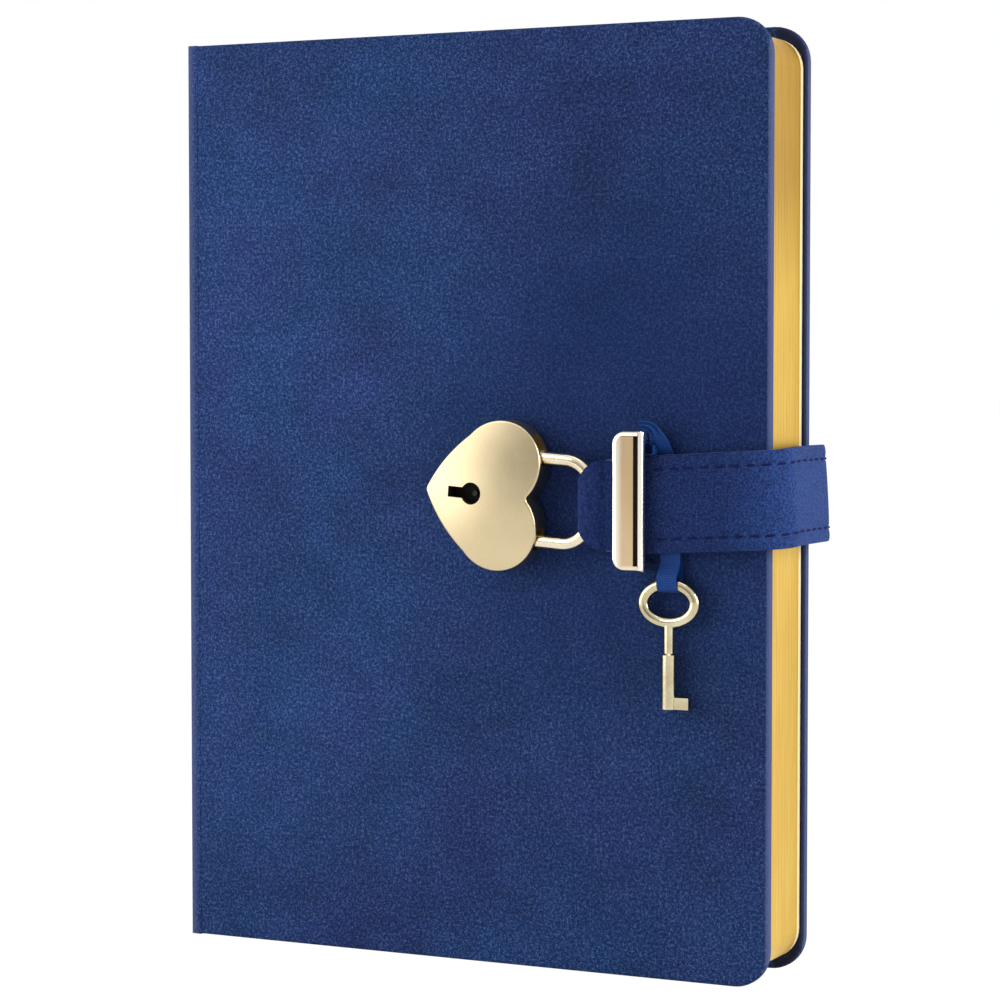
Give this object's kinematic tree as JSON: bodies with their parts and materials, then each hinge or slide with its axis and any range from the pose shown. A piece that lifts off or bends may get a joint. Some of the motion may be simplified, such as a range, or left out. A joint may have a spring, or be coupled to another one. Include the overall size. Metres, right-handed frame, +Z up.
{
  "type": "diary with lock",
  "caption": "Case-bound diary in blue suede leather with gilt page edges, closed by a strap under a metal keeper and a heart padlock, with its key on a ribbon.",
  "frame": {"origin": "bottom centre of the bounding box of the standing book, with its strap and padlock", "axes": "+Z up from tail to head, +X from spine to fore-edge, -Y out of the front cover"},
  "size_m": [0.153, 0.0352, 0.211],
  "materials": {
    "suede_leather": "matt suede, mottled navy and royal blue",
    "strap_leather": "matt suede with dark stitching",
    "lining_leather": "smooth lining",
    "loop_leather": "matt",
    "board": "grey board",
    "end_paper": "uncoated",
    "pages": "cream leaves with gilt edges",
    "band_cloth": "woven",
    "lining_cloth": "open weave",
    "gold": "satin champagne gold plate",
    "steel": "plain",
    "ribbon": "satin"
  },
  "bodies": {
    "block": {"spine_leather": "suede_leather", "spine_board": "board", "spine_lining": "lining_cloth", "head_band": "band_cloth", "tail_band": "band_cloth", "section_04": "pages", "section_05": "pages", "section_06": "pages", "section_07": "pages"},
    "front_cover": {"front_cover_leather": "suede_leather", "front_board": "board", "front_pastedown": "end_paper", "keeper": "gold", "keeper_washers": "steel", "lock_loop": "loop_leather", "key_ribbon": "ribbon"},
    "front_flyleaf": {"front_flyleaf": "end_paper"},
    "section_01": {"section_01": "pages"},
    "section_02": {"section_02": "pages"},
    "section_03": {"section_03": "pages"},
    "back_cover": {"back_cover_leather": "suede_leather", "back_board": "board", "back_pastedown": "end_paper", "strap_tail_face": "strap_leather", "strap_tail_lining": "lining_leather"},
    "back_flyleaf": {"back_flyleaf": "end_paper"},
    "section_10": {"section_10": "pages"},
    "section_09": {"section_09": "pages"},
    "section_08": {"section_08": "pages"},
    "strap": {"strap_face": "strap_leather", "strap_lining": "lining_leather"},
    "shackle": {"shackle": "gold"},
    "lock_body": {"lock_front_shell": "gold", "lock_back_shell": "gold", "shackle_pin": "steel", "case_rivets": "steel", "key_post": "steel", "bolt_spring": "steel"},
    "lock_bolt": {"lock_bolt": "steel"},
    "key": {"key": "gold"}
  },
  "joints": [
    {"name": "front_cover_open", "type": "hinge", "parent": "block", "child": "front_cover", "pos_m": [-0.07345, -0.0096, 0.1055], "axis": [0, 0, -1], "range_deg": [0, 170]},
    {"name": "front_flyleaf_turn", "type": "hinge", "parent": "block", "child": "front_flyleaf", "pos_m": [-0.07355, -0.0063, 0.1055], "axis": [0, 0, -1], "range_deg": [0, 83.8]},
    {"name": "section_01_turn", "type": "hinge", "parent": "block", "child": "section_01", "pos_m": [-0.07355, -0.006, 0.1055], "axis": [0, 0, -1], "range_deg": [0, 41.3]},
    {"name": "section_02_turn", "type": "hinge", "parent": "block", "child": "section_02", "pos_m": [-0.07355, -0.0042, 0.1055], "axis": [0, 0, -1], "range_deg": [0, 20.05]},
    {"name": "section_03_turn", "type": "hinge", "parent": "block", "child": "section_03", "pos_m": [-0.07355, -0.0024, 0.1055], "axis": [0, 0, -1], "range_deg": [0, 9.85]},
    {"name": "back_cover_open", "type": "hinge", "parent": "block", "child": "back_cover", "pos_m": [-0.07345, 0.0156, 0.1055], "axis": [0, 0, 1], "range_deg": [0, 170]},
    {"name": "back_flyleaf_turn", "type": "hinge", "parent": "block", "child": "back_flyleaf", "pos_m": [-0.07355, 0.0123, 0.1055], "axis": [0, 0, 1], "range_deg": [0, 83.8]},
    {"name": "section_10_turn", "type": "hinge", "parent": "block", "child": "section_10", "pos_m": [-0.07355, 0.01196, 0.1055], "axis": [0, 0, 1], "range_deg": [0, 41.3]},
    {"name": "section_09_turn", "type": "hinge", "parent": "block", "child": "section_09", "pos_m": [-0.07355, 0.01016, 0.1055], "axis": [0, 0, 1], "range_deg": [0, 20.05]},
    {"name": "section_08_turn", "type": "hinge", "parent": "block", "child": "section_08", "pos_m": [-0.07355, 0.00836, 0.1055], "axis": [0, 0, 1], "range_deg": [0, 9.85]},
    {"name": "strap_swing", "type": "hinge", "parent": "back_cover", "child": "strap", "pos_m": [0.07104, 0.0166, 0.10688], "axis": [-0.0576, 0, 0.9983], "range_deg": [0, 130], "deforming": ["strap_face", "strap_lining"]},
    {"name": "lock_swing", "type": "hinge", "parent": "front_cover", "child": "shackle", "pos_m": [0.03065, -0.0136, 0.1051], "axis": [0.075, 0, 0.9972], "range_deg": [0, 70], "deforming": ["lock_loop"]},
    {"name": "shackle_open", "type": "hinge", "parent": "shackle", "child": "lock_body", "pos_m": [0.01324, -0.0136, 0.11573], "axis": [0, 1, 0], "range_deg": [0, 38]},
    {"name": "bolt_throw", "type": "slide", "parent": "lock_body", "child": "lock_bolt", "axis": [-0.075, 0, -0.9972], "range_m": [0, 0.0012]},
    {"name": "key_swing", "type": "hinge", "parent": "front_cover", "child": "key", "pos_m": [0.04865, -0.01185, 0.08805], "axis": [-1, 0, 0], "range_deg": [0, 70], "deforming": ["key_ribbon"]}
  ],
  "couplings": [
    {"joint": "front_flyleaf_turn", "follows": "front_cover_open", "ratio": 0.49},
    {"joint": "section_01_turn", "follows": "front_cover_open", "ratio": 0.24},
    {"joint": "section_02_turn", "follows": "front_cover_open", "ratio": 0.115},
    {"joint": "section_03_turn", "follows": "front_cover_open", "ratio": 0.055},
    {"joint": "back_flyleaf_turn", "follows": "back_cover_open", "ratio": 0.49},
    {"joint": "section_10_turn", "follows": "back_cover_open", "ratio": 0.24},
    {"joint": "section_09_turn", "follows": "back_cover_open", "ratio": 0.115},
    {"joint": "section_08_turn", "follows": "back_cover_open", "ratio": 0.055}
  ]
}
